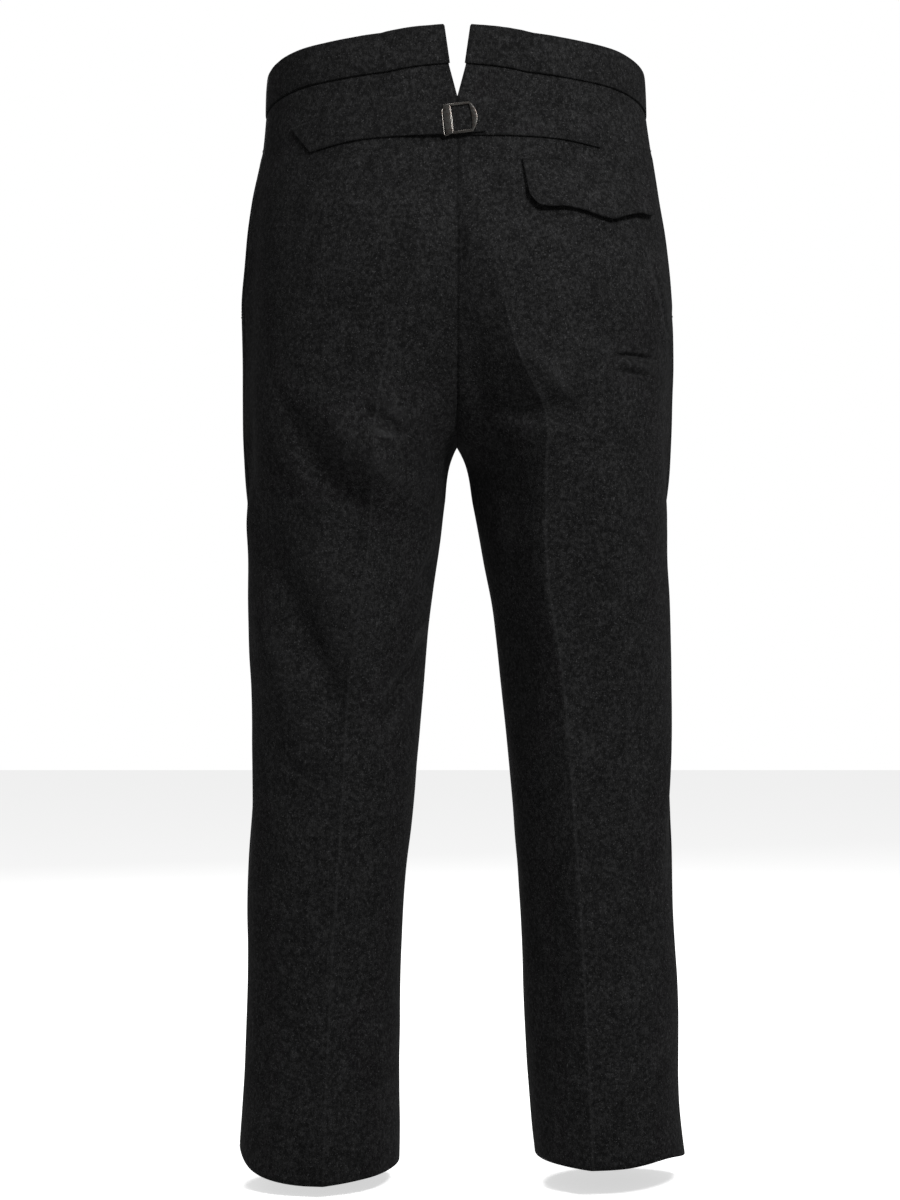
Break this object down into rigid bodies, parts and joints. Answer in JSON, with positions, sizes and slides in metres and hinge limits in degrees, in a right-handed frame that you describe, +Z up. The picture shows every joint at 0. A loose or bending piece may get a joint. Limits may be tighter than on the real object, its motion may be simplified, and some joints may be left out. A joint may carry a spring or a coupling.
{
  "type": "trousers",
  "caption": "High-backed straight wool trousers in their worn hollow shape, with a notched waistband, a buckled cinch strap and a scalloped rear pocket flap.",
  "frame": {"origin": "the middle of the waist, where a wearer's waist holds the garment up, level with the top of the trousers' sides less half the waistband", "axes": "+Z up along the legs, +X to the wearer's left, -Y to the front"},
  "size_m": [0.4436, 0.2788, 1.1153],
  "materials": {
    "wool": "charcoal melange wool with a short felted nap",
    "buckle": "dark nickel, worn bright on its edges",
    "button": "dark horn, polished"
  },
  "bodies": {
    "root": {"back_left": "wool", "back_right": "wool", "front_left": "wool", "front_right": "wool", "waistband_left": "wool", "waistband_right": "wool", "cinch_strap_left": "wool", "cinch_strap_right": "wool", "pocket_flap": "wool", "fly_shield": "wool", "cinch_buckle": "buckle", "waist_button": "button"}
  },
  "joints": []
}
